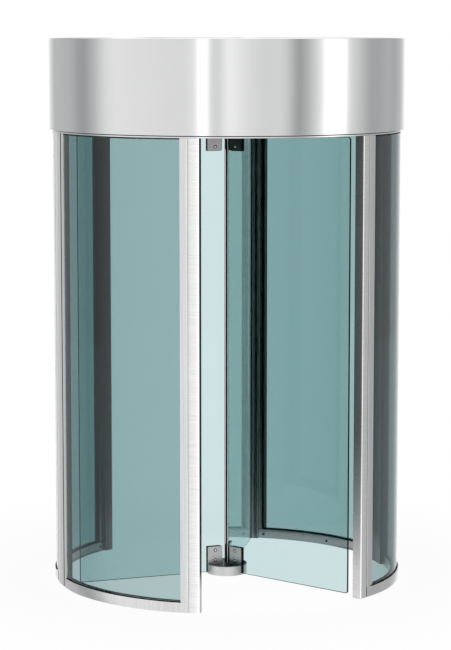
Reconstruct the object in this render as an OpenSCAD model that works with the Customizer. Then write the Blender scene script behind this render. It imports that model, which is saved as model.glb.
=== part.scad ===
// Full-height glass turnstile: a round canopy on two curved glass side walls,
// with a rotor of three frameless glass wings that turns about the middle.
// Millimetres, +Z up, origin on the floor at the rotor's axis.
// Directions round the drum are in degrees from the front (-Y), positive
// towards the right (+X), so the front opening lies at 0 and the rear at 180.

/* [Overall] */
// Height from the floor to the top of the canopy
overall_h = 2500; // [2350:10:2700]
// Outer diameter of the drum walls
drum_d = 1600; // [1500:10:1800]
// Clear width of each opening, between the end posts
opening_w = 765; // [700:5:800]
// Radial depth of the posts and the header ring
wall_depth = 44; // [40:1:60]
// Radial depth of the stiles and base rails
frame_depth = 30; // [26:1:34]

/* [Canopy] */
// Height of the canopy
canopy_h = 412; // [300:4:500]
// How far the canopy stands out past the drum walls
canopy_overhang = 17.5; // [12:0.5:30]
// Thickness of the fascia and top cover sheet
canopy_sheet = 3; // [2:0.5:5]
// How far the top cover lies below the fascia's rim
cover_recess = 3; // [1:0.5:10]
// Thickness of the ceiling plate
ceiling_t = 4; // [3:0.5:8]

/* [Header ring] */
// How far the header ring shows below the canopy
header_drop = 11; // [6:1:25]
// Height of the header ring
header_h = 41; // [32:1:70]
// Thickness of the upper flange that carries the fascia
header_flange = 6; // [4:1:10]
// Thickness of the lower flange, which closes the canopy round its lower edge
header_lip = 3; // [2:0.5:6]

/* [Side walls] */
// Face width of an end post
post_w = 50; // [40:1:80]
// Face width of the stile beside a pane
stile_w = 34; // [28:1:60]
// Clearance at both edges of a stile, and at the ends of a base rail
stile_gap = 0.1; // [0.05:0.05:0.5]
// Width of the shadow groove at an end post
post_groove_w = 3.5; // [2:0.5:6]
// Depth of the shadow groove at an end post
post_groove_depth = 6; // [3:0.5:12]
// Width of the middle post, with its two grooves
mid_post_w = 124; // [100:1:220]
// How far the left middle post is centred behind the drum's middle, and the right one ahead, in degrees
mid_post_back = 2.9; // [0:0.1:6]
// Width of each groove beside the middle post's face
mid_groove_w = 14; // [8:1:26]
// Depth of the grooves beside the middle post's face
mid_groove_depth = 10; // [4:1:20]

/* [Base rails] */
// Height of the base rails
rail_h = 46; // [36:1:80]
// How far the base rails stand out past the drum walls
rail_proud = 6; // [0:1:14]

/* [Panes and gaskets] */
// Thickness of the curved wall panes
pane_t = 12; // [8:1:14]
// How far the panes lie inside the drum's outer face
pane_inset = 0.5; // [0.5:0.5:3]
// Radial thickness of the gasket legs on both faces of a pane; the inner foot is as deep as the rail
gasket_t = 5.5; // [3:0.5:6]
// Height of the gasket's legs above the base rail
gasket_h = 9; // [7:0.5:16]
// Thickness of the gasket under and over a pane
gasket_floor = 4; // [2:0.5:6]
// Width of the upright gaskets beside the stiles
gasket_w = 3; // [2:0.5:20]
// Clearance beside the panes and gaskets, and over the gaskets
glazing_gap = 0.2; // [0.1:0.1:0.5]

/* [Wings] */
// Thickness of the wings' glass
wing_t = 10; // [8:1:14]
// Gap between a wing's edge and the drum's inner face
wing_gap = 40; // [25:1:60]
// Gap between the wings and the floor, and the wings and the ceiling
wing_clear = 9; // [6:1:20]
// Distance from the axis to a wing's inner edge
wing_inner = 8; // [7:0.5:16]
// Radius of a wing's outer corners
wing_corner = 12; // [4:1:30]
// Direction of the wing that points to the left at rest, in degrees
wing_direction = -90; // [-100:1:-80]

/* [Hubs and clamps] */
// Diameter of the foot disc and the head disc
hub_d = 196; // [170:2:240]
// Height of the foot disc's top above the floor
hub_h = 48; // [36:1:70]
// Radius of the solid middle of the discs, inside the wing slots
hub_core_r = 20; // [18:0.5:24]
// Height of a clamp
clamp_h = 118; // [90:1:150]
// Thickness of one clamp plate
clamp_t = 7; // [5:0.5:10]
// Distance from the axis to a clamp's inner end
clamp_inner = 26; // [24:1:34]
// How far the head disc shows below the ceiling
head_disc_drop = 8; // [4:1:20]
// How far a clamp stands out past the discs
clamp_proud = 2; // [0:0.5:5]
// Height of a clamp's lower end above the floor
clamp_foot = 14; // [10:1:20]

/* [Bearings] */
// Diameter of the floor plate's pin and of the head shaft
pin_d = 24; // [16:1:28]
// Radial running clearance of the pin and the shaft
pin_clearance = 0.05; // [0.02:0.01:0.1]
// Diameter of the floor plate
floor_plate_d = 170; // [120:2:180]
// Thickness of the floor plate
floor_plate_t = 2.7; // [2:0.1:5]
// Gap under the foot disc, above the floor plate
seat_gap = 0.3; // [0.3:0.1:0.5]
// Clear gap round and over the head disc
head_gap = 8; // [6:1:14]
// Wall of the head bearing's housing
housing_t = 8; // [5:1:14]
// Length of the head bearing's bore
head_bore_len = 30; // [20:1:50]

/* [Hidden] */
$fn = 96;

// Heights of the fixed frame
canopy_z = overall_h - canopy_h;
header_z = canopy_z - header_drop;
header_top = header_z + header_h;

// Radii of the drum and the canopy
drum_r = drum_d / 2;
inner_r = drum_r - wall_depth;
frame_r = drum_r - frame_depth;
canopy_r = drum_r + canopy_overhang;
fascia_inner_r = canopy_r - canopy_sheet;
rail_r = drum_r + rail_proud;
pane_outer_r = drum_r - pane_inset;
pane_inner_r = pane_outer_r - pane_t;

// Directions of the joints in a wall as drawn, from its long pane's end to its short pane's end
function arc_deg(width) = width / drum_r * 180 / PI;
post_from = asin(opening_w / 2 / drum_r);
post_to = post_from + arc_deg(post_w);
long_pane_from = post_to + arc_deg(stile_w);
mid_centre = 90 + mid_post_back;
mid_from = mid_centre - arc_deg(mid_post_w) / 2;
mid_to = mid_centre + arc_deg(mid_post_w) / 2;
long_pane_to = mid_from - arc_deg(stile_w);
short_pane_from = mid_to + arc_deg(stile_w);
short_pane_to = 180 - long_pane_from;

// Glazing heights
pane_z = rail_h + gasket_floor;
gasket_top = header_z - glazing_gap;
pane_top = gasket_top - gasket_floor;

// Rotor heights; the head disc and clamps mirror the foot disc and clamps
wing_r = inner_r - wing_gap;
wing_z = wing_clear;
wing_top = header_z - wing_clear;
foot_disc_z = floor_plate_t + seat_gap;
clamp_outer = hub_d / 2 + clamp_proud;
clamp_gap = 0.3;
head_disc_z = header_z - head_disc_drop;
foot_and_head = head_disc_z + hub_h;
head_disc_top = foot_and_head - foot_disc_z;
pin_r = pin_d / 2;
bore_r = pin_r + pin_clearance;
pin_top = hub_h - 8;
bore_top = pin_top + 2;
housing_r = clamp_outer + head_gap;
housing_top = head_disc_top + head_gap;
shaft_top = housing_top + head_bore_len + 5;
wing_turn = 120;

stainless = "#c9cbcc";
polished = "#dadcdd";
glass_tint = [0.55, 0.76, 0.75, 0.4];
rubber = "#161718";

// A bar of rectangular section that follows the drum between two directions
module arc_bar(r_in, r_out, from_deg, to_deg, z_from, z_to) {
    rotate([0, 0, from_deg - 90])
        rotate_extrude(angle = to_deg - from_deg)
            translate([r_in, z_from])
                square([r_out - r_in, z_to - z_from]);
}

// Places what is drawn for a wall in the left wall, with its long pane in front
module left_wall() {
    mirror([1, 0, 0])
        children();
}

// Places what is drawn for a wall in the right wall: the left one after half a turn
module right_wall() {
    rotate([0, 0, 180])
        left_wall()
            children();
}

// Turns what is drawn along +X to a direction round the drum
module towards(direction) {
    rotate([0, 0, direction - 90])
        children();
}

// Places the head end's copy of what is drawn for the foot end
module at_head() {
    translate([0, 0, foot_and_head])
        mirror([0, 0, 1])
            children();
}

// ---- canopy ----

// Half of the fascia's band
module fascia(from_deg) {
    color(stainless)
        arc_bar(fascia_inner_r, canopy_r, from_deg, from_deg + 180, canopy_z, overall_h);
}

module canopy_top_cover() {
    color(stainless)
        translate([0, 0, overall_h - cover_recess - canopy_sheet])
            cylinder(r = fascia_inner_r, h = canopy_sheet);
}

module ceiling_plate() {
    color(stainless)
        translate([0, 0, header_z])
            difference() {
                cylinder(r = inner_r, h = ceiling_t);
                translate([0, 0, -1])
                    cylinder(r = housing_r, h = ceiling_t + 2);
            }
}

// Flanged housing on the ceiling plate, over the head disc
module head_bearing() {
    base_z = header_z + ceiling_t;
    flange_r = housing_r + housing_t + 40;
    hub_r = bore_r + housing_t + 10;
    color(stainless)
        rotate_extrude()
            polygon([
                [housing_r, base_z],
                [flange_r, base_z],
                [flange_r, base_z + housing_t],
                [housing_r + housing_t, base_z + housing_t],
                [housing_r + housing_t, housing_top + housing_t],
                [hub_r, housing_top + housing_t],
                [hub_r, housing_top + head_bore_len],
                [bore_r, housing_top + head_bore_len],
                [bore_r, housing_top],
                [housing_r, housing_top]
            ]);
}

// Part of the ring that joins the walls over the openings and carries the canopy
module header(from_deg, to_deg) {
    color(stainless)
        rotate([0, 0, from_deg - 90])
            rotate_extrude(angle = to_deg - from_deg)
                polygon([
                    [inner_r, header_z],
                    [drum_r, header_z],
                    [drum_r, canopy_z],
                    [fascia_inner_r, canopy_z],
                    [fascia_inner_r, canopy_z + header_lip],
                    [drum_r, canopy_z + header_lip],
                    [drum_r, header_top - header_flange],
                    [fascia_inner_r, header_top - header_flange],
                    [fascia_inner_r, header_top],
                    [inner_r, header_top]
                ]);
}

// ---- side walls, drawn from 0 to 180 degrees, with the long pane first ----

// Repeats what is drawn at the long pane's end at the other end
module at_far_end() {
    mirror([0, 1, 0])
        children();
}

// End post with a shadow groove on its stile side
module end_post() {
    groove = arc_deg(post_groove_w);
    color(stainless)
        difference() {
            arc_bar(inner_r, drum_r, post_from, post_to, 0, header_z);
            arc_bar(drum_r - post_groove_depth, drum_r + 1, post_to - groove, post_to + 1, -1, header_z + 1);
        }
}

// Wide post between the two panes, its face set between two grooves
module middle_post() {
    groove_r = drum_r - mid_groove_depth;
    groove = arc_deg(mid_groove_w);
    color(stainless)
        difference() {
            arc_bar(inner_r, drum_r, mid_from, mid_to, 0, header_z);
            arc_bar(groove_r, drum_r + 1, mid_from - 1, mid_from + groove, -1, header_z + 1);
            arc_bar(groove_r, drum_r + 1, mid_to - groove, mid_to + 1, -1, header_z + 1);
        }
}

// Stile on top of the base rail, beside a pane
module stile(from_deg, to_deg) {
    gap = arc_deg(stile_gap);
    color(stainless)
        arc_bar(frame_r, drum_r, from_deg + gap, to_deg - gap, rail_h, header_z);
}

module outer_stile() {
    stile(post_to, long_pane_from);
}

// Base rail from an end post to the middle post
module base_rail(from_deg, to_deg) {
    gap = arc_deg(stile_gap);
    color(stainless)
        arc_bar(frame_r, rail_r, from_deg + gap, to_deg - gap, 0, rail_h);
}

module long_rail() {
    base_rail(post_to, mid_from);
}

module short_rail() {
    base_rail(mid_to, 180 - post_to);
}

module pane(from_deg, to_deg) {
    gap = arc_deg(glazing_gap);
    color(glass_tint)
        arc_bar(pane_inner_r, pane_outer_r, from_deg + gap, to_deg - gap, pane_z, pane_top - glazing_gap);
}

// Channel under the pane, band over it and two upright strips behind its edges
module pane_gasket(from_deg, to_deg) {
    outer_r = pane_outer_r + gasket_t;
    inner_leg_r = pane_inner_r - gasket_t;
    leg_top = rail_h + gasket_h;
    strip = arc_deg(gasket_w);
    gap = arc_deg(glazing_gap);
    color(rubber)
        difference() {
            rotate([0, 0, from_deg + gap - 90])
                rotate_extrude(angle = to_deg - from_deg - 2 * gap)
                    polygon([
                        [frame_r, rail_h],
                        [outer_r, rail_h],
                        [outer_r, leg_top],
                        [pane_outer_r, leg_top],
                        [pane_outer_r, pane_z],
                        [pane_inner_r, pane_z],
                        [pane_inner_r, pane_top],
                        [pane_outer_r, pane_top],
                        [pane_outer_r, gasket_top],
                        [inner_leg_r, gasket_top],
                        [inner_leg_r, leg_top],
                        [frame_r, leg_top]
                    ]);
            arc_bar(inner_leg_r - 1, pane_inner_r + 1, from_deg + strip, to_deg - strip, leg_top, pane_top);
        }
}

module wall_gaskets() {
    pane_gasket(long_pane_from, long_pane_to);
    pane_gasket(short_pane_from, short_pane_to);
}

// ---- floor bearing ----

module floor_bearing() {
    color(polished)
        union() {
            cylinder(d = floor_plate_d, h = floor_plate_t);
            cylinder(r = pin_r, h = pin_top);
        }
}

// ---- rotor ----

// Slotted disc that carries the wings; the slots run from the core to the rim
module slotted_disc() {
    slot_w = wing_t + 2 * clamp_t;
    difference() {
        translate([0, 0, foot_disc_z])
            cylinder(d = hub_d, h = hub_h - foot_disc_z);
        for (turn = [0 : 2])
            towards(wing_direction + turn * wing_turn)
                translate([hub_core_r, -slot_w / 2, clamp_foot])
                    cube([hub_d, slot_w, hub_h]);
    }
}

module foot_disc() {
    color(polished)
        difference() {
            slotted_disc();
            cylinder(r = bore_r, h = bore_top);
        }
}

module head_disc() {
    color(polished)
        union() {
            at_head()
                slotted_disc();
            translate([0, 0, head_disc_top])
                cylinder(r = pin_r, h = shaft_top - head_disc_top);
        }
}

// A wing's outline, as distance from the axis and height, from its foot out and up
function wing_foot_points() = [
    [wing_inner, hub_h + clamp_gap],
    [hub_core_r + clamp_gap, hub_h + clamp_gap],
    [hub_core_r + clamp_gap, clamp_foot],
    [clamp_outer, clamp_foot],
    [clamp_outer, wing_z],
    for (turn = [0 : 15 : 90])
        [wing_r - wing_corner * (1 - sin(turn)), wing_z + wing_corner * (1 - cos(turn))]
];

function wing_head_points() = [
    for (turn = [90 : -15 : 0])
        [wing_r - wing_corner * (1 - sin(turn)), wing_top - wing_corner * (1 - cos(turn))],
    [clamp_outer, wing_top],
    [clamp_outer, foot_and_head - clamp_foot],
    [hub_core_r + clamp_gap, foot_and_head - clamp_foot],
    [hub_core_r + clamp_gap, head_disc_z - clamp_gap],
    [wing_inner, head_disc_z - clamp_gap]
];

module wing(direction) {
    color(glass_tint)
        towards(direction)
            translate([0, wing_t / 2, 0])
                rotate([90, 0, 0])
                    linear_extrude(wing_t)
                        polygon(concat(wing_foot_points(), wing_head_points()));
}

// The two plates that hold a wing's corner between them
module clamp_pair(direction) {
    color(polished)
        towards(direction)
            for (face = [-wing_t / 2 - clamp_t, wing_t / 2])
                translate([clamp_inner, face, clamp_foot])
                    cube([clamp_outer - clamp_inner, clamp_t, clamp_h]);
}

fascia(-90);  // canopy_front_fascia
fascia(90);  // canopy_rear_fascia
canopy_top_cover();
ceiling_plate();
head_bearing();
header(-post_from, post_from);  // header_front
header(180 - post_from, 180 + post_from);  // header_rear
header(180 + post_from, 360 - post_from);  // header_left
header(post_from, 180 - post_from);  // header_right
left_wall() end_post();  // front_left_post
right_wall() at_far_end() end_post();  // front_right_post
left_wall() at_far_end() end_post();  // rear_left_post
right_wall() end_post();  // rear_right_post
left_wall() middle_post();  // left_middle_post
right_wall() middle_post();  // right_middle_post
left_wall() outer_stile();  // front_left_outer_stile
left_wall() stile(long_pane_to, mid_from);  // front_left_inner_stile
left_wall() at_far_end() outer_stile();  // rear_left_outer_stile
left_wall() stile(mid_to, short_pane_from);  // rear_left_inner_stile
right_wall() at_far_end() outer_stile();  // front_right_outer_stile
right_wall() stile(mid_to, short_pane_from);  // front_right_inner_stile
right_wall() outer_stile();  // rear_right_outer_stile
right_wall() stile(long_pane_to, mid_from);  // rear_right_inner_stile
left_wall() long_rail();  // front_left_base_rail
left_wall() short_rail();  // rear_left_base_rail
right_wall() short_rail();  // front_right_base_rail
right_wall() long_rail();  // rear_right_base_rail
left_wall() pane(long_pane_from, long_pane_to);  // front_left_pane
left_wall() pane(short_pane_from, short_pane_to);  // rear_left_pane
right_wall() pane(short_pane_from, short_pane_to);  // front_right_pane
right_wall() pane(long_pane_from, long_pane_to);  // rear_right_pane
left_wall() wall_gaskets();  // left_gaskets
right_wall() wall_gaskets();  // right_gaskets
floor_bearing();
foot_disc();
head_disc();
wing(wing_direction);  // left_wing
wing(wing_direction + wing_turn);  // front_wing
wing(wing_direction + 2 * wing_turn);  // rear_wing
clamp_pair(wing_direction);  // left_wing_foot_clamp
clamp_pair(wing_direction + wing_turn);  // front_wing_foot_clamp
clamp_pair(wing_direction + 2 * wing_turn);  // rear_wing_foot_clamp
at_head() clamp_pair(wing_direction);  // left_wing_head_clamp
at_head() clamp_pair(wing_direction + wing_turn);  // front_wing_head_clamp
at_head() clamp_pair(wing_direction + 2 * wing_turn);  // rear_wing_head_clamp
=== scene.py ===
import math

import bmesh
import bpy
from mathutils import Matrix, Vector


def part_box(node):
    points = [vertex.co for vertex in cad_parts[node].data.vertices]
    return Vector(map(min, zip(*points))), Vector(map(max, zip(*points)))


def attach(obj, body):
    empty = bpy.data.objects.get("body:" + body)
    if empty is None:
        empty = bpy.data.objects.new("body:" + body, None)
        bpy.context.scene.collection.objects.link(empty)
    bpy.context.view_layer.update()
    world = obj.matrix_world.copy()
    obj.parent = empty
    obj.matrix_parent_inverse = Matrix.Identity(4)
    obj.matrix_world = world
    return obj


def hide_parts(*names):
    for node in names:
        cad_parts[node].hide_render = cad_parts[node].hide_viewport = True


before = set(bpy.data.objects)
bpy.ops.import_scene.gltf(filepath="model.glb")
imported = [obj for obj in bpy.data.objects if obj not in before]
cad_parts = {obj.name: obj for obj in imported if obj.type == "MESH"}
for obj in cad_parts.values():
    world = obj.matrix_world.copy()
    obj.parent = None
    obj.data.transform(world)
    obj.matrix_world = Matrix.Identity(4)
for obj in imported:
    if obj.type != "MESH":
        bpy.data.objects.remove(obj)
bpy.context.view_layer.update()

SCENE = bpy.context.scene

# ---------------------------------------------------------------- camera

# Stands in front, a little to the left, and looks slightly down. Distances are in metres.
CAMERA_AZIMUTH = math.radians(-20.0)
CAMERA_DISTANCE = 10.7977
CAMERA_HEIGHT = 2.5400
CAMERA_PITCH = 0.1258
CAMERA_YAW = 0.0005
CAMERA_LENS = 129.54


def make_camera():
    data = bpy.data.cameras.new("camera")
    data.lens = CAMERA_LENS
    data.sensor_width = 36
    camera = bpy.data.objects.new("camera", data)
    SCENE.collection.objects.link(camera)
    camera.location = (
        CAMERA_DISTANCE * math.sin(CAMERA_AZIMUTH),
        -CAMERA_DISTANCE * math.cos(CAMERA_AZIMUTH),
        CAMERA_HEIGHT,
    )
    camera.rotation_euler = (math.pi / 2 - CAMERA_PITCH, 0, CAMERA_AZIMUTH + CAMERA_YAW)
    data.clip_end = 100
    SCENE.camera = camera


make_camera()

# ---------------------------------------------------------------- node helpers


class Nodes:
    """A material's or world's node tree, with short calls for nodes and links."""

    def __init__(self, tree):
        self.tree = tree
        tree.nodes.clear()

    def add(self, kind, **settings):
        node = self.tree.nodes.new(kind)
        for name, value in settings.items():
            setattr(node, name, value)
        return node

    def link(self, source, target):
        self.tree.links.new(source, target)

    def feed(self, target, value):
        if hasattr(value, "is_output"):
            self.link(value, target)
        else:
            target.default_value = value

    def math(self, operation, a, b=None, c=None):
        node = self.add("ShaderNodeMath", operation=operation)
        self.feed(node.inputs[0], a)
        if b is not None:
            self.feed(node.inputs[1], b)
        if c is not None:
            self.feed(node.inputs[2], c)
        return node.outputs[0]

    def vector(self, operation, a, b=None):
        node = self.add("ShaderNodeVectorMath", operation=operation)
        self.feed(node.inputs[0], a)
        if b is not None:
            self.feed(node.inputs[1], b)
        return node.outputs["Value" if operation in ("DOT_PRODUCT", "LENGTH") else "Vector"]

    def between(self, value, low, high, to_low=0.0, to_high=1.0, smooth=True):
        node = self.add("ShaderNodeMapRange")
        node.interpolation_type = "SMOOTHSTEP" if smooth else "LINEAR"
        self.feed(node.inputs["Value"], value)
        node.inputs["From Min"].default_value = low
        node.inputs["From Max"].default_value = high
        node.inputs["To Min"].default_value = to_low
        node.inputs["To Max"].default_value = to_high
        return node.outputs["Result"]

    def mix(self, factor, a, b):
        node = self.add("ShaderNodeMix", data_type="RGBA")
        self.feed(node.inputs["Factor"], factor)
        self.feed(node.inputs[6], a)
        self.feed(node.inputs[7], b)
        return node.outputs[2]

    def mix_shader(self, factor, a, b):
        node = self.add("ShaderNodeMixShader")
        self.feed(node.inputs[0], factor)
        self.link(a, node.inputs[1])
        self.link(b, node.inputs[2])
        return node.outputs[0]

    def noise(self, scale, stretch=(1, 1, 1), detail=3.0, roughness=0.55, seed=(0, 0, 0)):
        coordinates = self.add("ShaderNodeTexCoord").outputs["Object"]
        mapping = self.add("ShaderNodeMapping")
        self.link(coordinates, mapping.inputs["Vector"])
        mapping.inputs["Scale"].default_value = stretch
        mapping.inputs["Location"].default_value = seed
        node = self.add("ShaderNodeTexNoise")
        self.link(mapping.outputs[0], node.inputs["Vector"])
        node.inputs["Scale"].default_value = scale
        node.inputs["Detail"].default_value = detail
        node.inputs["Roughness"].default_value = roughness
        return node.outputs["Fac"]

    def axes(self):
        """The x, y and z of a point on the object."""
        split = self.add("ShaderNodeSeparateXYZ")
        self.link(self.add("ShaderNodeTexCoord").outputs["Object"], split.inputs[0])
        return split.outputs

    def bump(self, height, strength, distance):
        node = self.add("ShaderNodeBump")
        node.inputs["Strength"].default_value = strength
        node.inputs["Distance"].default_value = distance
        self.link(height, node.inputs["Height"])
        return node.outputs[0]

    def surface(self, shader):
        """Ends a material's tree with this shader on its surface, and returns the end node."""
        out = self.add("ShaderNodeOutputMaterial")
        self.link(shader, out.inputs[0])
        return out


def grey(value, alpha=1.0):
    return (value, value, value, alpha)


def new_material(name):
    material = bpy.data.materials.new(name)
    material.use_nodes = True
    return material, Nodes(material.node_tree)


# ---------------------------------------------------------------- world and lamps

# Studio round the object as its metal mirrors it: azimuth from the camera in degrees,
# positive to the right, and brightness, where 1 is white. Two bright strip lights stand at
# -15 and 73 degrees. The levels were typed in by hand, and they closely follow brightness
# readings that a scratch script printed for the canopy in the photo.
STUDIO = [
    (-180, 1.15), (-168, 1.17), (-147, 0.62), (-118, 0.58), (-109, 0.455), (-103, 0.415),
    (-92, 0.65), (-84, 0.93), (-76, 1.03), (-27, 0.93), (-19.2, 1.02), (-17.6, 1.65),
    (-12.5, 1.65), (-10.5, 0.86), (-5, 0.85), (1, 1.20), (14, 0.96), (25, 0.86),
    (34, 0.90), (38.5, 0.79), (46.3, 0.40), (53, 0.61), (62.5, 1.07), (66.0, 1.65),
    (80.6, 1.65), (83.6, 0.95), (104, 0.49), (113, 0.49), (126, 0.55), (136, 0.49),
    (150, 0.62), (165, 1.10),
]
COOL_SHADE = 0.02         # how much bluer the darker parts of the studio are


def make_world():
    world = bpy.data.worlds.new("studio")
    SCENE.world = world
    world.use_nodes = True
    n = Nodes(world.node_tree)
    direction = n.add("ShaderNodeTexCoord").outputs["Generated"]
    split = n.add("ShaderNodeSeparateXYZ")
    n.link(direction, split.inputs[0])
    x, y, z = split.outputs
    azimuth = n.math("ARCTAN2", x, n.math("MULTIPLY", y, -1.0))
    turn = n.math("FRACT", n.math(
        "ADD", n.math("DIVIDE", n.math("SUBTRACT", azimuth, CAMERA_AZIMUTH), 2 * math.pi), 1.5))
    ramp = n.add("ShaderNodeValToRGB")
    n.link(turn, ramp.inputs[0])
    stops = ramp.color_ramp.elements
    while len(stops) > 1:
        stops.remove(stops[-1])
    for i, (degrees, level) in enumerate(STUDIO):
        stop = stops[0] if i == 0 else stops.new(degrees / 360 + 0.5)
        if i == 0:
            stop.position = 0.0
        cool = 1.0 + COOL_SHADE * max(0.0, 1.0 - level)
        stop.color = (level, level * cool, level * cool * cool, 1)
    overhead = n.between(z, 0.40, 0.80)
    below = n.between(z, -0.42, -0.70)
    studio = n.mix(overhead, ramp.outputs["Color"], grey(1.0))
    studio = n.mix(below, studio, grey(1.0))
    path = n.add("ShaderNodeLightPath")
    straight = n.math("LESS_THAN", path.outputs["Glossy Depth"], 0.5)
    seen = n.math("MAXIMUM", path.outputs["Is Camera Ray"],
                  n.math("MULTIPLY", path.outputs["Is Transmission Ray"], straight))
    mirrored = n.math("MAXIMUM", path.outputs["Is Glossy Ray"], n.math("SUBTRACT", 1.0, straight))
    colour = n.mix(mirrored, grey(0.85), studio)
    colour = n.mix(seen, colour, grey(1.0))
    background = n.add("ShaderNodeBackground")
    n.link(colour, background.inputs["Color"])
    out = n.add("ShaderNodeOutputWorld")
    n.link(background.outputs[0], out.inputs[0])


def area_lamp(name, azimuth, distance, height, size, power):
    """A soft lamp aimed at the middle of the object, which metal doesn't mirror."""
    data = bpy.data.lights.new(name, "AREA")
    data.shape = "RECTANGLE"
    data.size, data.size_y = size
    data.energy = power
    lamp = bpy.data.objects.new(name, data)
    SCENE.collection.objects.link(lamp)
    a = CAMERA_AZIMUTH + math.radians(azimuth)
    lamp.location = (distance * math.sin(a), -distance * math.cos(a), height)
    aim = Vector((0, 0, 1.1)) - lamp.location
    lamp.rotation_euler = aim.to_track_quat("-Z", "Y").to_euler()
    lamp.visible_glossy = False
    lamp.visible_camera = False
    lamp.visible_transmission = False


# How much of the floor's look is plain white, inside the drum and just outside it: the rest
# is lit paint, which carries the object's faint shadow.
FLOOR_INSIDE = 0.97
FLOOR_OUTSIDE = 0.92
FLOOR_JOINT = 0.75        # radius where the floor that metal mirrors ends
FLOOR_Z = -0.0005


def make_stage():
    """White floor: the outer part fades to plain white, the inner part shows in the metal."""
    material, n = new_material("floor_white")
    position = n.add("ShaderNodeNewGeometry").outputs["Position"]
    flat = n.vector("MULTIPLY", position, (1, 1, 0))
    radius = n.vector("LENGTH", flat)
    path = n.add("ShaderNodeLightPath")
    lit = n.add("ShaderNodeBsdfDiffuse")
    lit.inputs["Color"].default_value = grey(0.9)
    glow = n.add("ShaderNodeEmission")
    glow.inputs["Color"].default_value = grey(1.0)
    glow.inputs["Strength"].default_value = 1.0
    inside = n.between(radius, 0.72, 0.95, FLOOR_INSIDE, FLOOR_OUTSIDE)
    fade = n.between(radius, 0.95, 2.4, 0.0, 1.0)
    white = n.math("ADD", inside, n.math("MULTIPLY", fade, 1.0 - FLOOR_OUTSIDE))
    looked = n.math("MAXIMUM", path.outputs["Is Camera Ray"],
                    n.math("MAXIMUM", path.outputs["Is Transmission Ray"],
                           path.outputs["Is Glossy Ray"]))
    share = n.math("MULTIPLY", looked, white)
    n.surface(n.mix_shader(share, lit.outputs[0], glow.outputs[0]))
    for name, radii in (("floor_inside", (0.0, FLOOR_JOINT)), ("floor_outside", (FLOOR_JOINT, 9.0))):
        mesh = bpy.data.meshes.new(name)
        bm = bmesh.new()
        steps = 96
        rings = []
        for r in radii:
            rings.append([bm.verts.new((r * math.sin(2 * math.pi * i / steps),
                                        -r * math.cos(2 * math.pi * i / steps), FLOOR_Z))
                          for i in range(steps)] if r else [bm.verts.new((0, 0, FLOOR_Z))])
        for i in range(steps):
            j = (i + 1) % steps
            if len(rings[0]) == 1:
                bm.faces.new((rings[0][0], rings[1][i], rings[1][j]))
            else:
                bm.faces.new((rings[0][i], rings[1][i], rings[1][j], rings[0][j]))
        bm.to_mesh(mesh)
        bm.free()
        mesh.materials.append(material)
        floor = bpy.data.objects.new(name, mesh)
        SCENE.collection.objects.link(floor)
        if name == "floor_outside":
            floor.visible_glossy = False


make_world()
make_stage()
area_lamp("key_lamp", -35, 5.0, 4.5, (3.0, 3.0), 60)
area_lamp("fill_lamp", 60, 5.0, 3.5, (2.5, 3.5), 30)

SCENE.view_settings.view_transform = "Standard"
SCENE.cycles.max_bounces = 32
SCENE.cycles.transmission_bounces = 32
SCENE.cycles.glossy_bounces = 8
SCENE.cycles.transparent_max_bounces = 32
SCENE.cycles.caustics_reflective = False
SCENE.cycles.caustics_refractive = False

# ---------------------------------------------------------------- materials


def steel(name, colour, roughness, streaks, streak_scale, contrast, bump=0.02, spread=0.05,
          painted_height_shade=None, painted_slot_shade=0.0):
    """Brushed stainless steel. streaks is the noise's stretch: small along the brush lines.
    painted_height_shade is painted shade that darkens the colour upwards, leaving the low part lighter as
    a painted reflection of the white floor: (height where it starts, height where it is full, share of
    colour left there).
    painted_slot_shade is the share of colour left beside the three wings on a disc: painted shade of the
    wing slots."""
    material, n = new_material(name)
    lines = n.noise(streak_scale, streaks, detail=2.0)
    clouds = n.noise(5.0, (1, 1, 1), detail=2.0, seed=(3, 1, 7))
    tone = n.math("ADD", n.math("MULTIPLY", lines, contrast), n.math("MULTIPLY", clouds, 0.04))
    shade = n.math("SUBTRACT", 1.02 + contrast * 0.5, tone)
    # Painted shade: the rim darkens towards the three wing slots.
    if painted_slot_shade:
        x, y, _ = n.axes()
        around = n.math("ARCTAN2", x, n.math("MULTIPLY", y, -1.0))
        near = n.math("COSINE", n.math("MULTIPLY", n.math("SUBTRACT", around, math.radians(30)), 3.0))
        shade = n.math("MULTIPLY", shade, n.between(near, -0.8, 0.9, 1.0, painted_slot_shade))
    # Painted shade: the colour darkens upwards between two heights, and the lighter low part is a painted
    # reflection of the white floor.
    if painted_height_shade:
        start, full, left = painted_height_shade
        shade = n.math("MULTIPLY", shade, n.between(n.axes()[2], start, full, 1.0, left))
    base = n.add("ShaderNodeMix", data_type="RGBA", blend_type="MULTIPLY")
    base.inputs["Factor"].default_value = 1.0
    base.inputs[6].default_value = (*colour, 1)
    combine = n.add("ShaderNodeCombineColor")
    for i in range(3):
        n.link(shade, combine.inputs[i])
    n.link(combine.outputs[0], base.inputs[7])
    p = n.add("ShaderNodeBsdfPrincipled")
    n.link(base.outputs[2], p.inputs["Base Color"])
    p.inputs["Metallic"].default_value = 1.0
    n.link(n.between(lines, 0.3, 0.7, roughness - spread, roughness + spread, smooth=False),
           p.inputs["Roughness"])
    n.link(n.bump(lines, bump, 0.002), p.inputs["Normal"])
    n.surface(p.outputs[0])
    return material


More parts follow.
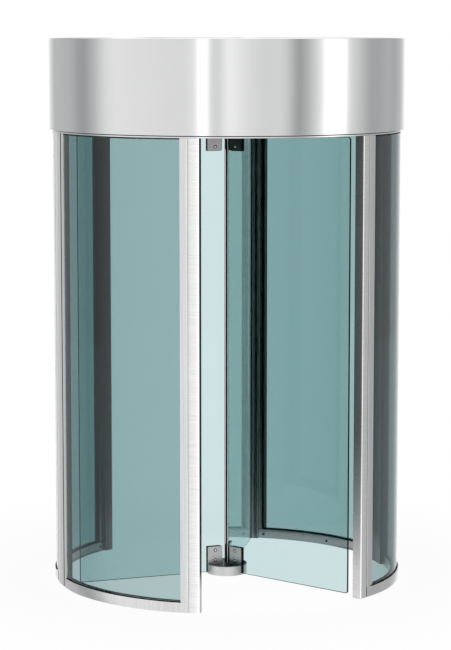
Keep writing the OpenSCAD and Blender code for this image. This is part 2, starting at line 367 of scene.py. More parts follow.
def glass(name, taken, gloss=0.5):
    """Green-tinted clear glass. taken is what each metre absorbs of red, green and blue."""
    material, n = new_material(name)
    p = n.add("ShaderNodeBsdfPrincipled")
    p.inputs["Base Color"].default_value = grey(1.0)
    p.inputs["Roughness"].default_value = 0.0
    p.inputs["IOR"].default_value = 1.5
    p.inputs["Specular IOR Level"].default_value = gloss
    p.inputs["Transmission Weight"].default_value = 1.0
    clear = n.add("ShaderNodeBsdfTransparent")
    path = n.add("ShaderNodeLightPath")
    out = n.surface(n.mix_shader(path.outputs["Is Shadow Ray"], p.outputs[0], clear.outputs[0]))
    density = max(taken)
    volume = n.add("ShaderNodeVolumeAbsorption")
    volume.inputs["Color"].default_value = (*(1 - t / density for t in taken), 1)
    volume.inputs["Density"].default_value = density
    n.link(volume.outputs[0], out.inputs["Volume"])
    return material


def rubber(name):
    material, n = new_material(name)
    grain = n.noise(900, detail=2.0)
    p = n.add("ShaderNodeBsdfPrincipled")
    n.link(n.mix(grain, (0.002, 0.0022, 0.0024, 1), (0.006, 0.0062, 0.0065, 1)), p.inputs["Base Color"])
    n.link(n.between(grain, 0.3, 0.7, 0.5, 0.7, smooth=False), p.inputs["Roughness"])
    p.inputs["Specular IOR Level"].default_value = 0.12
    n.link(n.bump(grain, 0.1, 0.0005), p.inputs["Normal"])
    n.surface(p.outputs[0])
    return material


def edge_glass(name):
    """Ground edge of the tinted glass: dark green with a soft gloss."""
    material, n = new_material(name)
    grind = n.noise(700, (1, 1, 0.2), detail=3.0)
    p = n.add("ShaderNodeBsdfPrincipled")
    n.link(n.mix(grind, (0.0005, 0.002, 0.002, 1), (0.002, 0.005, 0.005, 1)), p.inputs["Base Color"])
    n.link(n.between(grind, 0.3, 0.7, 0.25, 0.4, smooth=False), p.inputs["Roughness"])
    p.inputs["Specular IOR Level"].default_value = 0.08
    n.surface(p.outputs[0])
    return material


ALONG_Z = (1, 1, 0.012)   # brush lines that stand upright
ROUND_Z = (0.02, 0.02, 1)                # brush lines that run level
STEEL = (0.72, 0.722, 0.722)
MAT = {
    "canopy": steel("canopy_steel", STEEL, 0.13, ALONG_Z, 260, 0.035, bump=0.01, spread=0.02),
    "frame": steel("frame_steel", STEEL, 0.20, ALONG_Z, 200, 0.30, bump=0.04),
    "post": steel("post_steel", (0.78, 0.78, 0.778), 0.22, ROUND_Z, 280, 0.34, bump=0.04),
    # Darker copies of the steel for faces that look into the drum: painted shade, which deepens upwards.
    "inner": steel("inner_shade_steel", (0.13, 0.13, 0.132), 0.24, ALONG_Z, 200, 0.10,
                   painted_height_shade=(0.02, 0.80, 0.28)),
    "stile_in": steel("stile_inner_shade_steel", (0.155, 0.155, 0.157), 0.24, ALONG_Z, 200, 0.12,
                      painted_height_shade=(0.02, 0.80, 0.36)),
    # Lighter steel for stripes on inner faces: painted highlight.
    "painted_highlight": steel("highlight_steel", (0.31, 0.31, 0.312), 0.28, ALONG_Z, 200, 0.10),
    # Near-black copy of the steel for the side faces of stiles and middle posts, as painted shade; the
    # rails' screws take it too.
    "side": steel("side_shade_steel", (0.012, 0.012, 0.013), 0.40, ALONG_Z, 200, 0.10),
    # Darker copy of the rail steel for the rails' inner faces: painted shade.
    "rail_in": steel("rail_inner_shade_steel", (0.33, 0.328, 0.33), 0.25, ROUND_Z, 300, 0.20, bump=0.02),
    # End-face steels: their painted shade darkens them upwards, and the lighter low part is a painted
    # reflection of the white floor.
    "reveal": steel("reveal_steel", (0.72, 0.698, 0.70), 0.32, ROUND_Z, 120, 0.16,
                    painted_height_shade=(0.0, 0.84, 0.265)),
    "reveal_rear": steel("reveal_rear_steel", (0.72, 0.72, 0.725), 0.32, ROUND_Z, 120, 0.16,
                         painted_height_shade=(0.0, 0.84, 0.60)),
    # The draught brush: black higher up, and lighter at the bottom as a painted reflection of the white
    # floor.
    "brush": steel("brush_black", (0.55, 0.55, 0.55), 0.50, ALONG_Z, 500, 0.20,
                   painted_height_shade=(0.10, 0.20, 0.01)),
    "groove": steel("groove_steel", (0.42, 0.425, 0.43), 0.30, ALONG_Z, 200, 0.05),
    "clamp": steel("clamp_steel", (0.51, 0.505, 0.51), 0.30, (1, 1, 0.3), 420, 0.16, bump=0.04),
    # Darker copy of the clamp steel: painted shade of the canopy on the front and rear wings' head
    # clamps.
    "clamp_shade": steel("clamp_shade_steel", (0.09, 0.09, 0.092), 0.34, (1, 1, 0.3), 420, 0.16,
                         bump=0.04),
    # Near-black steel: painted shadow in the header's shadow line, on the clamps' edges and on a disc's
    # flats and slots; the screws' rings take it too.
    "dark": steel("dark_steel", (0.008, 0.0085, 0.009), 0.35, (1, 1, 0.3), 420, 0.12, bump=0.02),
    "disc": steel("disc_steel", (0.64, 0.64, 0.645), 0.24, ROUND_Z, 400, 0.10, bump=0.02, painted_slot_shade=0.62),
    "screw": steel("screw_steel", (0.72, 0.72, 0.73), 0.22, (1, 1, 1), 500, 0.06),
    # Near-white rough steel of the strip where the wings meet: a real strip, its near-white tone partly a
    # painted highlight.
    "rod": steel("rod_steel", (0.95, 0.95, 0.95), 0.75, ALONG_Z, 300, 0.06),
    "wall_glass": glass("wall_glass", (72.0, 50.0, 48.5), gloss=0.0),
    "rear_glass": glass("rear_glass", (83.5, 55.5, 55.5), gloss=0.0),
    "wing_glass": glass("wing_glass", (45.0, 24.5, 23.5)),
    "glass_edge": edge_glass("glass_edge"),
    "rubber": rubber("gasket_rubber"),
}

# ---------------------------------------------------------------- mesh helpers


def ring_box(node):
    """Radii, directions and heights that a CAD node spans. Directions are in degrees from
    the front (-Y), positive towards the right (+X)."""
    points = [v.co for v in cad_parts[node].data.vertices]
    middle = math.atan2(sum(p.x for p in points), -sum(p.y for p in points))
    radii = [math.hypot(p.x, p.y) for p in points]
    turns = []
    for p in points:
        d = math.atan2(p.x, -p.y) - middle
        turns.append(math.degrees((d + math.pi) % (2 * math.pi) - math.pi + middle))
    heights = [p.z for p in points]
    return min(radii), max(radii), min(turns), max(turns), min(heights), max(heights)


def rounded(corners, steps=5):
    """A closed outline from (x, y, fillet radius) corners."""
    outline = []
    count = len(corners)
    for i in range(count):
        x, y, fillet = corners[i]
        here = Vector((x, y))
        if fillet <= 0:
            outline.append(here)
            continue
        back = Vector(corners[i - 1][:2]) - here
        ahead = Vector(corners[(i + 1) % count][:2]) - here
        half = back.angle(ahead) / 2
        reach = min(fillet / math.tan(half), 0.49 * back.length, 0.49 * ahead.length)
        radius = reach * math.tan(half)
        back.normalize()
        ahead.normalize()
        centre = here + (back + ahead).normalized() * (radius / math.sin(half))
        start = here + back * reach - centre
        end = here + ahead * reach - centre
        turn = math.atan2(start.x * end.y - start.y * end.x, start.dot(end))
        for k in range(steps + 1):
            outline.append(centre + Matrix.Rotation(turn * k / steps, 2) @ start)
    return outline


def split_long(outline, longest):
    """Points added along an outline's sides, so that no side is longer than longest in x."""
    result = []
    for i, here in enumerate(outline):
        ahead = outline[(i + 1) % len(outline)]
        parts = max(1, math.ceil(abs(ahead.x - here.x) / longest))
        result.extend(here.lerp(ahead, k / parts) for k in range(parts))
    return result


def on_ring(degrees, radius, height):
    a = math.radians(degrees)
    return Vector((radius * math.sin(a), -radius * math.cos(a), height))


SHARP = math.radians(32)


def finish_mesh(bm, name, materials, body, replaces=(), choose=None, smooth=True):
    """Turns a bmesh into a piece with smooth shading between sharp corners."""
    bmesh.ops.recalc_face_normals(bm, faces=bm.faces)
    for face in bm.faces:
        face.smooth = smooth
        if choose:
            face.material_index = choose(face)
    for edge in bm.edges:
        if len(edge.link_faces) == 2:
            edge.smooth = edge.calc_face_angle(0) < SHARP
    mesh = bpy.data.meshes.new(name)
    bm.to_mesh(mesh)
    bm.free()
    for material in materials:
        mesh.materials.append(MAT[material])
    piece = bpy.data.objects.new(name, mesh)
    SCENE.collection.objects.link(piece)
    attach(piece, body)
    if replaces:
        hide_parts(*replaces)
    return piece


def add_strip(bm, rows, closed_rows=False):
    """Faces between rows of vertices, each row a closed loop."""
    pairs = list(zip(rows, rows[1:] + ([rows[0]] if closed_rows else [])))
    for a, b in pairs:
        for i in range(len(a)):
            j = (i + 1) % len(a)
            bm.faces.new((a[i], a[j], b[j], b[i]))


def add_bar(bm, rows):
    """Faces between rows of vertices, and a face over each end."""
    add_strip(bm, rows)
    bm.faces.new(rows[0])
    bm.faces.new(list(reversed(rows[-1])))


def swept(bm, section, from_deg, to_deg, step=0.75):
    """Sweeps a section of (radius, height) points round the drum's axis."""
    count = max(1, math.ceil(abs(to_deg - from_deg) / step))
    full = abs(abs(to_deg - from_deg) - 360) < 1e-6
    rows = []
    for i in range(count if full else count + 1):
        d = from_deg + (to_deg - from_deg) * i / count
        points = section(d) if callable(section) else section
        rows.append([bm.verts.new(on_ring(d, p[0], p[1])) for p in points])
    if full:
        add_strip(bm, rows, closed_rows=True)
    else:
        add_bar(bm, rows)


def lathe(bm, section, steps=144):
    """Revolves a closed section of (radius, height) points. Points on the axis are shared."""
    rows = []
    poles = {}
    for i in range(steps):
        d = 360.0 * i / steps
        row = []
        for k, (r, z) in enumerate(section):
            if r < 1e-7:
                if k not in poles:
                    poles[k] = bm.verts.new((0, 0, z))
                row.append(poles[k])
            else:
                row.append(bm.verts.new(on_ring(d, r, z)))
        rows.append(row)
    for i in range(steps):
        a, b = rows[i], rows[(i + 1) % steps]
        for k in range(len(section)):
            j = (k + 1) % len(section)
            corners = []
            for v in (a[k], a[j], b[j], b[k]):
                if v not in corners:
                    corners.append(v)
            if len(corners) > 2:
                bm.faces.new(corners)


ARC_R = 0.8               # radius at which lengths along the drum's face are measured
LONGEST = 0.006           # longest flat stretch round an upright bar


def arc(degrees):
    return math.radians(degrees) * ARC_R


def standing(bm, corners, z_from, z_to):
    """Stands a rounded outline of (arc length, radius, fillet) corners up on end."""
    outline = split_long(rounded(corners), LONGEST)
    ring = [(math.degrees(p.x / ARC_R), p.y) for p in outline]
    low = [bm.verts.new(on_ring(d, r, z_from)) for d, r in ring]
    high = [bm.verts.new(on_ring(d, r, z_to)) for d, r in ring]
    add_bar(bm, [low, high])


def facing(face):
    """How far a face looks outwards from the drum's axis, from -1 to 1."""
    c = face.calc_center_median()
    out = Vector((c.x, c.y, 0))
    return face.normal.dot(out.normalized()) if out.length > 1e-9 else 0.0


def outer_inner_or_side(face):
    """Material 0 on faces that look out or up, 1 on those that look in, 2 on those between. Where it is
    used, 1 and 2 are darker steels laid on as painted shade.
    """
    if facing(face) > 0.35 or abs(face.normal.z) > 0.7:
        return 0
    return 1 if facing(face) < -0.5 else 2


# ---------------------------------------------------------------- canopy and header

fascia_in, canopy_r, _, _, canopy_z, top_z = ring_box("canopy_front_fascia")
_, drum_r, _, _, _, header_z = ring_box("front_left_post")
BAND_GAP = 0.03           # degrees left free at each end of a fascia band
LID_FIT = 0.0004          # gap round the top lid
LINE_HIGH, LINE_DEEP = 0.0045, 0.003     # shadow line under the canopy, cut into the header
HEADER_LAP = 0.003        # how far the header reaches up inside the canopy's band
FIT = 0.0003              # play between pieces of the scene that meet


def make_canopy():
    for node, start in (("canopy_front_fascia", -90), ("canopy_rear_fascia", 90)):
        bm = bmesh.new()
        section = rounded([
            (fascia_in, canopy_z, 0.0008), (canopy_r, canopy_z, 0.0026),
            (canopy_r, top_z, 0.0012), (fascia_in, top_z, 0.0012)])
        swept(bm, section, start + BAND_GAP, start + 180 - BAND_GAP, step=1.0)
        finish_mesh(bm, node.replace("fascia", "band"), ["canopy"], "drum", [node])

    _, cover_r, _, _, cover_low, cover_top = ring_box("canopy_top_cover")
    lid_r = cover_r - LID_FIT
    bm = bmesh.new()
    section = rounded([
        (0.0, cover_low, 0), (lid_r, cover_low, 0), (lid_r, cover_top, 0.0008), (0.0, cover_top, 0)])
    lathe(bm, [(p.x, p.y) for p in section])
    finish_mesh(bm, "top_lid", ["frame"], "drum", ["canopy_top_cover"])

    for node in ("header_front", "header_rear", "header_left", "header_right"):
        r_in, r_out, start, end, low, high = ring_box(node)
        bm = bmesh.new()
        line_low, line_r = canopy_z - LINE_HIGH, drum_r - LINE_DEEP
        section = rounded([
            (r_in, low, 0.0015), (drum_r, low, 0.0015), (drum_r, line_low, 0), (line_r, line_low, 0),
            (line_r, canopy_z, 0), (fascia_in - FIT, canopy_z, 0),
            (fascia_in - FIT, canopy_z + HEADER_LAP, 0), (drum_r, canopy_z + HEADER_LAP, 0),
            (drum_r, high, 0), (r_in, high, 0)])
        swept(bm, section, start, end)

        def choose(face, line_low=line_low):
            middle = face.calc_center_median()
            recessed = math.hypot(middle.x, middle.y) < drum_r - 0.0001
            # Painted shadow: the shadow line's recess takes the near-black steel, and faces that look in
            # or down take the dark inner steel as painted shade.
            if recessed and line_low - 0.0001 < middle.z < canopy_z:
                return 2
            return 1 if facing(face) < -0.5 or face.normal.z < -0.7 else 0

        finish_mesh(bm, node + "_ring", ["frame", "inner", "dark"], "drum",
                    [node], choose=choose)


make_canopy()

# ---------------------------------------------------------------- walls


GROOVE_WIDE, GROOVE_DEEP = 0.0035, 0.006                  # an end post's shadow groove
REVEAL_RISE, REVEAL_BEVEL = 0.0015, 0.0075                # the shallow bevel of a reveal post
BRUSH_BEVEL = 0.0045      # the bevel of a post that carries the draught brush
BRUSH_PROUD = 0.003       # how far the brush stands out of the front left post's end face
BEVEL_SHADE = 0.0045      # the reveal's steel, with its painted shade, reaches onto the bevel of a reveal post this far
SLOT_FROM, SLOT_TO, SLOT_DEPTH = 0.030, 0.040, 0.004      # groove in an end post's inner face
HIGHLIGHT_FROM = 0.0190        # the rear right post's inner face has a painted highlight, a lighter stripe, from here to that slot
SECOND_HIGHLIGHT_FROM, SECOND_HIGHLIGHT_TO = 0.0475, 0.0498                     # and a second painted highlight stripe between these
LIP, LIP_WIDE = 0.0015, 0.009             # a stile's thin lip over its pane's edge
WIDE_LIPS = ("front_right_outer_stile", "rear_left_outer_stile")
SEAL_WIDE = 0.014         # black seal on the rear right stiles' inner faces, beside the pane
STILE_HIGHLIGHT_BEYOND = 0.028       # a painted highlight stripe on them, from here to the post
MIDDLE_GROOVE, MIDDLE_DEEP = 0.014, 0.010                 # step on both sides of a middle post
PANE_PLAY = 0.0001        # between a pane and the lip over it


def edge_distance(face, edge):
    """How far along the drum's face a face's middle lies from an arc length."""
    middle = face.calc_center_median()
    return arc(math.degrees(math.atan2(middle.x, -middle.y))) - edge


def make_end_post(end, side):
    """A post beside an opening. Its end face carries a black brush or a steel reveal."""
    node = f"{end}_{side}_post"
    r_in, r_out, start, finish, low, high = ring_box(node)
    if abs(abs(start) - 90) > abs(abs(finish) - 90):     # start is the opening's side
        opening, joint = start, finish
    else:
        opening, joint = finish, start
    sign = 1 if joint > opening else -1
    a, b = arc(opening), arc(joint)
    groove = GROOVE_WIDE * sign
    slot_near, slot_far = a + SLOT_FROM * sign, a + SLOT_TO * sign
    highlight_near, highlight_far = a + SECOND_HIGHLIGHT_FROM * sign, a + SECOND_HIGHLIGHT_TO * sign
    inner, lining = "inner", "brush" if (end == "front") == (side == "left") else "reveal"
    # The rear left post takes lighter copies of the shaded steels: painted shade set for that post.
    if node == "rear_left_post":
        inner, lining = "stile_in", "reveal_rear"
    painted_highlight = "painted_highlight" if node == "rear_right_post" else inner
    proud, rise, bevel = 0, REVEAL_RISE, REVEAL_BEVEL * sign
    if lining == "brush":
        proud = BRUSH_PROUD * sign if end == "front" else 0
        rise, bevel = BRUSH_BEVEL, BRUSH_BEVEL * sign
    brush_out = r_out - BRUSH_BEVEL - 0.001
    outline = [
        (a - proud, r_in, 0.001), (a - proud, brush_out, 0.0004), (a, brush_out, 0),
        (a, r_out - rise, 0.0006), (a + bevel, r_out, 0.0006), (b - groove, r_out, 0.0012),
        (b - groove, r_out - GROOVE_DEEP, 0), (b, r_out - GROOVE_DEEP, 0), (b, r_in, 0.0012),
        (highlight_far, r_in, 0), (highlight_near, r_in, 0), (slot_far, r_in, 0.0006),
        (slot_far, r_in + SLOT_DEPTH, 0), (slot_near, r_in + SLOT_DEPTH, 0),
        (slot_near, r_in, 0.0006), (a + HIGHLIGHT_FROM * sign, r_in, 0)]
    if not proud:
        del outline[1:3]
    bm = bmesh.new()
    standing(bm, outline, low, high)

    def choose(face):
        along = edge_distance(face, a) * sign
        # Painted shade: on reveal posts, the lining's darker steel also covers the outer bevel.
        if facing(face) > 0.35 and lining != "brush" and along < BEVEL_SHADE:
            return 2
        if facing(face) > 0.35 or abs(face.normal.z) > 0.7:
            middle = face.calc_center_median()
            deep = math.hypot(middle.x, middle.y) < r_out - rise - 0.0005
            return 2 if deep and facing(face) > 0.35 and along < 0.001 else 0
        if along < 0.0008 and facing(face) > -0.5:
            return 2
        # Painted highlight: lighter stripes on the rear right post's inner face stand in for mirrored
        # light.
        bright = HIGHLIGHT_FROM < along < SLOT_FROM or SECOND_HIGHLIGHT_FROM < along < SECOND_HIGHLIGHT_TO
        return 3 if facing(face) < -0.3 and bright else 1

    finish_mesh(bm, node + "_profile", ["post", inner, lining, painted_highlight], "drum",
                [node], choose=choose)


def make_stile(node, pane_out, pane_ends):
    """The upright beside a pane, with its thin lip over the pane's edge."""
    r_in, r_out, start, finish, low, high = ring_box(node)
    beside = min((start, finish), key=lambda d: min(abs(d - end) for end in pane_ends))
    e, f = arc(beside), arc(finish if beside == start else start)
    lip = (LIP_WIDE if node in WIDE_LIPS else LIP) * (1 if e > f else -1)
    lip_in = pane_out + PANE_PLAY
    bm = bmesh.new()
    standing(bm, [
        (f, r_in, 0.001), (f, r_out, 0.0015), (e + lip, r_out, 0.0003), (e + lip, lip_in, 0),
        (e, lip_in, 0), (e, r_in, 0.0002)], low, high)
    # The rear right stiles take the darker inner steel: painted shade.
    shaded = node.startswith("rear_right")

    def choose(face):
        kind = outer_inner_or_side(face)
        far = abs(edge_distance(face, e))
        # Painted highlight: on the rear right stiles, the inner face's stripe next to the post takes the
        # lighter steel.
        if kind == 1 and shaded and not SEAL_WIDE < far < STILE_HIGHLIGHT_BEYOND:
            return 3 if far < SEAL_WIDE else 4
        # Side faces near the pane keep the near-black steel as painted shade; those farther off take the
        # frame's steel.
        return 0 if kind == 2 and far > 0.012 else kind

    inner = "inner" if shaded else "stile_in"
    finish_mesh(bm, node + "_profile", ["frame", inner, "side", "rubber", "painted_highlight"], "drum",
                [node], choose=choose)


def make_middle_post(node):
    """The wide post between two panes, with a step on both sides of its face."""
    r_in, r_out, start, finish, low, high = ring_box(node)
    groove, deep = MIDDLE_GROOVE, r_out - MIDDLE_DEEP
    a, b = arc(start), arc(finish)
    bm = bmesh.new()
    standing(bm, [
        (a, r_in, 0), (a, deep, 0), (a + groove, deep, 0), (a + groove, r_out, 0.0015),
        (b - groove, r_out, 0.0015), (b - groove, deep, 0), (b, deep, 0), (b, r_in, 0)], low, high)
    finish_mesh(bm, node + "_profile", ["frame", "inner", "side"], "drum",
                [node], choose=outer_inner_or_side)


def make_walls():
    pane_out = ring_box("front_right_pane")[1]
    pane_ends = [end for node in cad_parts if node.endswith("_pane") for end in ring_box(node)[2:4]]
    for side in ("left", "right"):
        for end in ("front", "rear"):
            make_end_post(end, side)
    for node in sorted(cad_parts):
        if node.endswith("_stile"):
            make_stile(node, pane_out, pane_ends)
    for side in ("left", "right"):
        make_middle_post(f"{side}_middle_post")


RAIL_EASE = 12.0      # degrees over which a base rail grows out of the drum's face
RAIL_SCREW = 2.0      # degrees from a base rail's end to its outer screw
RAIL_SCREW_AT = 0.45  # the screws' place up a rail, as a share of its height


def make_rails():
    for node in sorted(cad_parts):
        if not node.endswith("_base_rail"):
            continue
        r_in, r_out, start, finish, low, high = ring_box(node)

        def section(d, start=start, finish=finish):
            near = min(abs(d - start), abs(d - finish))
            t = min(1.0, near / RAIL_EASE)
            out = drum_r + (r_out - drum_r) * t * t * (3 - 2 * t)
            return rounded([
                (r_in, 0, 0.0005), (out, 0, 0.0008), (out, high, 0.0022), (r_in, high, 0.0015)],
                steps=3)

        bm = bmesh.new()
        swept(bm, section, start, finish, step=0.5)
        middle = (start + finish) / 2
        for heading in (start + RAIL_SCREW, middle, finish - RAIL_SCREW):
            wall_screw(bm, heading, r_in, high * RAIL_SCREW_AT)
        # Faces that look in take the darker rail steel as painted shade.
        finish_mesh(bm, node + "_profile", ["frame", "rail_in", "side"], "drum",
                    [node], choose=lambda f: f.material_index or (1 if facing(f) < -0.5 else 0))


def wall_screw(bm, heading, radius, height, size=0.0045):
    """A sunk screw in a face that looks at the drum's axis: a low ring round a dark recess."""
    outline = [(size * 1.5, -0.0001), (size * 1.3, 0.0006), (size, 0.0006), (size * 0.75, 0.0002)]
    steps = 20
    rows = []
    for r, h in outline:
        row = []
        for i in range(steps):
            t = 2 * math.pi * i / steps
            row.append(bm.verts.new(on_ring(
                heading + math.degrees(r * math.cos(t) / radius), radius - h,
                height + r * math.sin(t))))
        rows.append(row)
    first = len(bm.faces)
    add_bar(bm, rows)
    bm.faces.ensure_lookup_table()
    for face in bm.faces[first:]:
        face.material_index = 2


PANE_ARRIS = 0.0008


def make_panes():
    for node in sorted(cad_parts):
        if not node.endswith("_pane"):
            continue
        r_in, r_out, start, finish, low, high = ring_box(node)
        bm = bmesh.new()
        edge = PANE_ARRIS
        section = [(r_in + edge, low), (r_out - edge, low), (r_out, low + edge), (r_out, high - edge),
                   (r_out - edge, high), (r_in + edge, high), (r_in, high - edge), (r_in, low + edge)]
        swept(bm, section, start, finish, step=0.4)
        tint = "rear_glass" if node.startswith("rear") else "wall_glass"
        finish_mesh(bm, node + "_glass", [tint], "drum", [node])


OUTER_LIP, INNER_LIP = 0.003, 0.005      # heights above the rail
SIDE_LIPS = {"front": 0.003, "rear": 0.006}               # widths of the upright strips
HEAD_LAP = 0.002                         # how far the head strip hangs over a pane
GLAZING_FIT = 0.0002
LEG_ROUND, STRIP_ROUND = 0.0012, 0.001


def make_gaskets():
    pane_in, pane_out = ring_box("front_right_pane")[:2]
    low, high = ring_box("front_right_pane")[4:]
    for side in ("right", "left"):
        bm = bmesh.new()
        r_in, r_out, _, _, bottom, top = ring_box(f"{side}_gaskets")
        leg_in = pane_in - (r_out - pane_out)
        for end, width in SIDE_LIPS.items():
            start, finish = ring_box(f"{end}_{side}_pane")[2:4]
            fit = GLAZING_FIT
            outer_top, inner_top = bottom + OUTER_LIP, bottom + INNER_LIP
            leg = rounded([
                (r_in, bottom, 0), (r_out, bottom, 0), (r_out, outer_top - 0.001, LEG_ROUND),
                (pane_out + fit, outer_top, 0), (pane_out + fit, low - fit, 0),
                (pane_in - fit, low - fit, 0), (pane_in - fit, inner_top, 0),
                (r_in, inner_top, LEG_ROUND)], steps=3)
            swept(bm, leg, start, finish, step=0.75)
            head = rounded([
                (leg_in, high - HEAD_LAP, STRIP_ROUND), (pane_in - fit, high - HEAD_LAP, STRIP_ROUND),
                (pane_in - fit, high + fit, 0), (pane_out, high + fit, 0), (pane_out, top, 0),
                (leg_in, top, 0)], steps=3)
            swept(bm, head, start, finish, step=0.75)
            for edge, inward in ((start, 1), (finish, -1)):
                a, b = sorted((edge, edge + inward * math.degrees(width / drum_r)))
                strip = rounded([
                    (arc(a), leg_in, STRIP_ROUND), (arc(b), leg_in, STRIP_ROUND),
                    (arc(b), pane_in - fit, STRIP_ROUND), (arc(a), pane_in - fit, STRIP_ROUND)],
                    steps=3)
                ring = [(math.degrees(p.x / drum_r), p.y) for p in strip]
                lows = [bm.verts.new(on_ring(d, r, inner_top)) for d, r in ring]
                highs = [bm.verts.new(on_ring(d, r, high - HEAD_LAP)) for d, r in ring]
                add_bar(bm, [lows, highs])
        finish_mesh(bm, f"{side}_seal", ["rubber"], "drum", [f"{side}_gaskets"])


make_walls()
make_rails()
make_panes()
make_gaskets()

# ---------------------------------------------------------------- rotor

HUB_R = ring_box("foot_disc")[1]
WING_TURNS = {"left_wing": -90, "front_wing": 30, "rear_wing": 150}
WING_T, CLAMP_T = 0.010, 0.007
WING_IN, WING_OUT = 0.008, -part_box("left_wing")[0].x      # a wing's edges, from the axis
WING_CLEAR = 0.009        # gap between the wings' tops and the header's underside
WING_CORNER, WING_ARRIS = 0.012, 0.0024
CORE_R = 0.020            # the solid core of a disc, inside its three slots
CLAMP_IN, CLAMP_OUT = 0.026, 0.100       # a clamp's edges, from the axis
SCREW_OUT, SCREW_HEIGHTS = 0.060, (0.051, 0.0985)         # its screws: from the axis, from the disc
ARRIS = 0.0018            # the broken edges of clamps and discs
SLOT_FLOOR = 0.034        # depth of a disc's slots
SHAFT_R = 0.012
# Where the three wings meet: name, radius, place in plan, material and slot.
# The joint strip is a real strip whose near-white rough steel is partly a painted highlight.
JOINT = (("joint_seal", 0.0031, (-0.0022, 0), "rubber", "gasket_rubber"),
         ("joint_strip", 0.0020, (-0.0003, -0.0137), "rod", "satin_fittings"))


def place(point, direction):
    """A point given as (distance from the axis, sideways, height), turned to a direction."""
    a = math.radians(direction - 90)
    x, y, z = point
    return Vector((x * math.cos(a) - y * math.sin(a), x * math.sin(a) + y * math.cos(a), z))


def plate(bm, outline, thickness, direction, offset=0.0, edge=0.0006):
    """A flat plate standing on a plane through the axis, with its arrises taken off."""
    area = sum(a.x * b.y - b.x * a.y for a, b in zip(outline, outline[1:] + outline[:1]))
    if area < 0:
        outline = list(reversed(outline))
    inset = []
    for i, here in enumerate(outline):
        back = (here - outline[i - 1]).normalized()
        ahead = (outline[(i + 1) % len(outline)] - here).normalized()
        normal = (Vector((-back.y, back.x)) + Vector((-ahead.y, ahead.x))).normalized()
        inset.append(here + normal * edge)
    half = thickness / 2
    rows = []
    for ring, y in ((inset, -half), (outline, -half + edge), (outline, half - edge), (inset, half)):
        rows.append([bm.verts.new(place((p.x, y + offset, p.y), direction)) for p in ring])
    add_bar(bm, rows)


def make_wings():
    foot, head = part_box("foot_disc")[1].z + FIT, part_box("head_disc")[0].z - FIT
    top = header_z - WING_CLEAR
    for node, direction in WING_TURNS.items():
        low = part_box(node)[0].z
        clamp_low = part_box(node + "_foot_clamp")[0].z
        clamp_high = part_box(node + "_head_clamp")[1].z
        outline = rounded([
            (WING_IN, foot, 0), (CORE_R + FIT, foot, 0), (CORE_R + FIT, clamp_low, 0),
            (CLAMP_OUT, clamp_low, 0), (CLAMP_OUT, low, 0), (WING_OUT, low, WING_CORNER),
            (WING_OUT, top, WING_CORNER), (CLAMP_OUT, top, 0), (CLAMP_OUT, clamp_high, 0),
            (CORE_R + FIT, clamp_high, 0), (CORE_R + FIT, head, 0), (WING_IN, head, 0)], steps=6)
        bm = bmesh.new()
        plate(bm, outline, WING_T, direction, edge=WING_ARRIS)
        along = place((1, 0, 0), direction)
        across = place((0, 1, 0), direction)

        def choose(face, along=along, across=across):
            reach = face.calc_center_median().dot(along)
            edge = reach > CLAMP_OUT - 0.0005 or reach < 0.012
            return 1 if edge and abs(face.normal.dot(across)) < 0.8 else 0

        finish_mesh(bm, node + "_glass", ["wing_glass", "glass_edge"], "rotor", [node],
                    choose=choose, smooth=False)
    for name, radius, middle, material, slot in JOINT:
        bm = bmesh.new()
        add_bar(bm, [[bm.verts.new(on_ring(15.0 * i, radius, z) + Vector((*middle, 0)))
                      for i in range(24)] for z in (foot, head)])
        finish_mesh(bm, name, [material], "rotor")


def make_clamps():
    for wing, direction in WING_TURNS.items():
        across = place((0, 1, 0), direction)
        for end in ("foot", "head"):
            node = f"{wing}_{end}_clamp"
            low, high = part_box(node)
            far, near = (high.z, low.z) if end == "foot" else (low.z, high.z)
            outline = rounded([
                (CLAMP_IN, near, 0.001), (CLAMP_OUT, near, 0.001), (CLAMP_OUT, far, 0.0015),
                (CLAMP_IN, far, 0.010)], steps=5)
            bm = bmesh.new()
            for side in (-1, 1):
                plate(bm, outline, CLAMP_T - 0.0002, direction, offset=side * (WING_T + CLAMP_T) / 2,
                      edge=ARRIS)
            # Painted shade: the front and rear wings' head clamps take the darker clamp steel.
            finish = "clamp_shade" if end == "head" and wing != "left_wing" else "clamp"
            # Painted shade: the plates' edges and arrises take the near-black steel.
            finish_mesh(bm, node + "_plates", [finish, "dark"], "rotor", [node],
                        choose=lambda f: 0 if abs(f.normal.dot(across)) > 0.9 else 1)
            bm = bmesh.new()
            ahead = 1 if end == "foot" else -1
            for side in (-1, 1):
                for height in SCREW_HEIGHTS:
                    centre = (SCREW_OUT, side * (WING_T / 2 + CLAMP_T), near + ahead * height)
                    screw(bm, centre, direction, side)
            finish_mesh(bm, node + "_screws", ["screw", "dark"], "rotor")


def screw(bm, centre, direction, side, radius=0.0055, height=0.0020):
    """A low socket screw in a dark sunk ring: a domed head with a round recess."""
    profile = [(radius * 1.5, 0.0), (radius * 1.5, 0.0004), (radius * 1.08, 0.0002),
               (radius, height * 0.5), (radius * 0.86, height * 0.9),
               (radius * 0.6, height), (radius * 0.42, height), (radius * 0.38, height * 0.2)]
    steps = 24
    rows = []
    for r, h in profile:
        rows.append([bm.verts.new(place((
            centre[0] + r * math.cos(2 * math.pi * i / steps),
            centre[1] + side * h,
            centre[2] + r * math.sin(2 * math.pi * i / steps)), direction)) for i in range(steps)])
    middle = place(centre, direction)

    def ring(face):
        return (face.calc_center_median() - middle).length > radius * 1.02

    first = len(bm.faces)
    add_bar(bm, rows)
    bm.faces.ensure_lookup_table()
    for face in bm.faces[first:]:
        face.material_index = 1 if ring(face) else 0


SEAM, SEAM_DEEP = 0.0018, 0.002     # joint between the three parts of a disc's rim


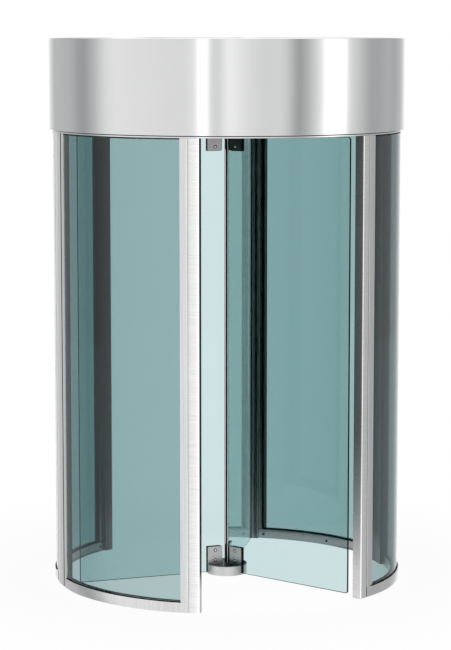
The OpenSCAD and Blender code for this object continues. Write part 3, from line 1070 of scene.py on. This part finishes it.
def disc_outline(radius, core, slot_half):
    """Plan outline of a disc with three slots from its rim to its core."""
    points = []
    for direction in sorted(WING_TURNS.values()):
        a = math.radians(direction - 90)
        along, across = Vector((math.cos(a), math.sin(a))), Vector((-math.sin(a), math.cos(a)))
        mouth = math.sqrt(radius ** 2 - slot_half ** 2)
        points.append((along * mouth - across * slot_half, along, across, mouth))
    outline = []
    count = len(points)
    for i in range(count):
        _, along, across, mouth = points[i]
        outline.append(along * mouth - across * slot_half)
        outline.append(along * core - across * slot_half)
        outline.append(along * core + across * slot_half)
        outline.append(along * mouth + across * slot_half)
        start = math.atan2(outline[-1].y, outline[-1].x)
        nxt = points[(i + 1) % count][0]
        end = math.atan2(nxt.y, nxt.x)
        turn = (end - start) % (2 * math.pi)
        arcs = 40
        for k in range(1, arcs):
            t = start + turn * k / arcs
            if k == arcs // 2:
                for offset, depth in ((-1, 0), (-1, SEAM_DEEP), (1, SEAM_DEEP), (1, 0)):
                    at = t + offset * SEAM / 2 / radius
                    outline.append(Vector((math.cos(at), math.sin(at))) * (radius - depth))
                continue
            outline.append(Vector((math.cos(t), math.sin(t))) * radius)
    return outline


def circle(bm, radius, height, steps):
    return [bm.verts.new(on_ring(360.0 * i / steps, radius, height)) for i in range(steps)]


def flat_or_slot(face):
    """Material 1 on a disc's flat faces and inside its slots, 0 round its rim: the flats and slots take
    the near-black steel as painted shade.
    """
    level = abs(face.normal.z)
    return 1 if level > 0.9 or facing(face) < 0.5 and level < 0.2 else 0


def make_discs():
    slot_half = WING_T / 2 + CLAMP_T
    foot_low, foot_high = (corner.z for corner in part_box("foot_disc"))
    head_low, shaft_top = (corner.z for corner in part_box("head_disc"))
    head_high = head_low + foot_high - foot_low
    for node, face, back in (("foot_disc", foot_high, foot_low), ("head_disc", head_low, head_high)):
        down = 1 if face < back else -1
        slot_floor = face + down * SLOT_FLOOR
        bm = bmesh.new()
        rim = disc_outline(HUB_R, CORE_R, slot_half)
        small = disc_outline(HUB_R - ARRIS, CORE_R, slot_half)
        rows = [[bm.verts.new((p.x, p.y, z)) for p in ring] for ring, z in (
            (rim, slot_floor), (rim, face + down * ARRIS), (small, face))]
        add_strip(bm, rows)
        bm.faces.new(rows[-1])
        base = circle(bm, HUB_R, slot_floor, 120)
        foot = circle(bm, HUB_R, back - down * 0.001, 120)
        sole = circle(bm, HUB_R - 0.001, back, 120)
        add_strip(bm, [base, foot, sole])
        bm.faces.new(sole)
        bm.faces.new(base)
        bm.faces.new(rows[0])
        if node == "head_disc":
            add_bar(bm, [circle(bm, SHAFT_R, height, 48) for height in (back, shaft_top)])
        finish_mesh(bm, node + "_turned", ["disc", "dark"], "rotor", [node],
                    choose=flat_or_slot)


make_wings()
make_clamps()
make_discs()

# ---------------------------------------------------------------- CAD nodes that stay

# The ceiling plate takes the dark inner steel: painted shade.
for node, material in (("ceiling_plate", "inner"), ("head_bearing", "groove"), ("floor_bearing", "disc")):
    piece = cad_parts[node]
    piece.data.materials.clear()
    piece.data.materials.append(MAT[material])
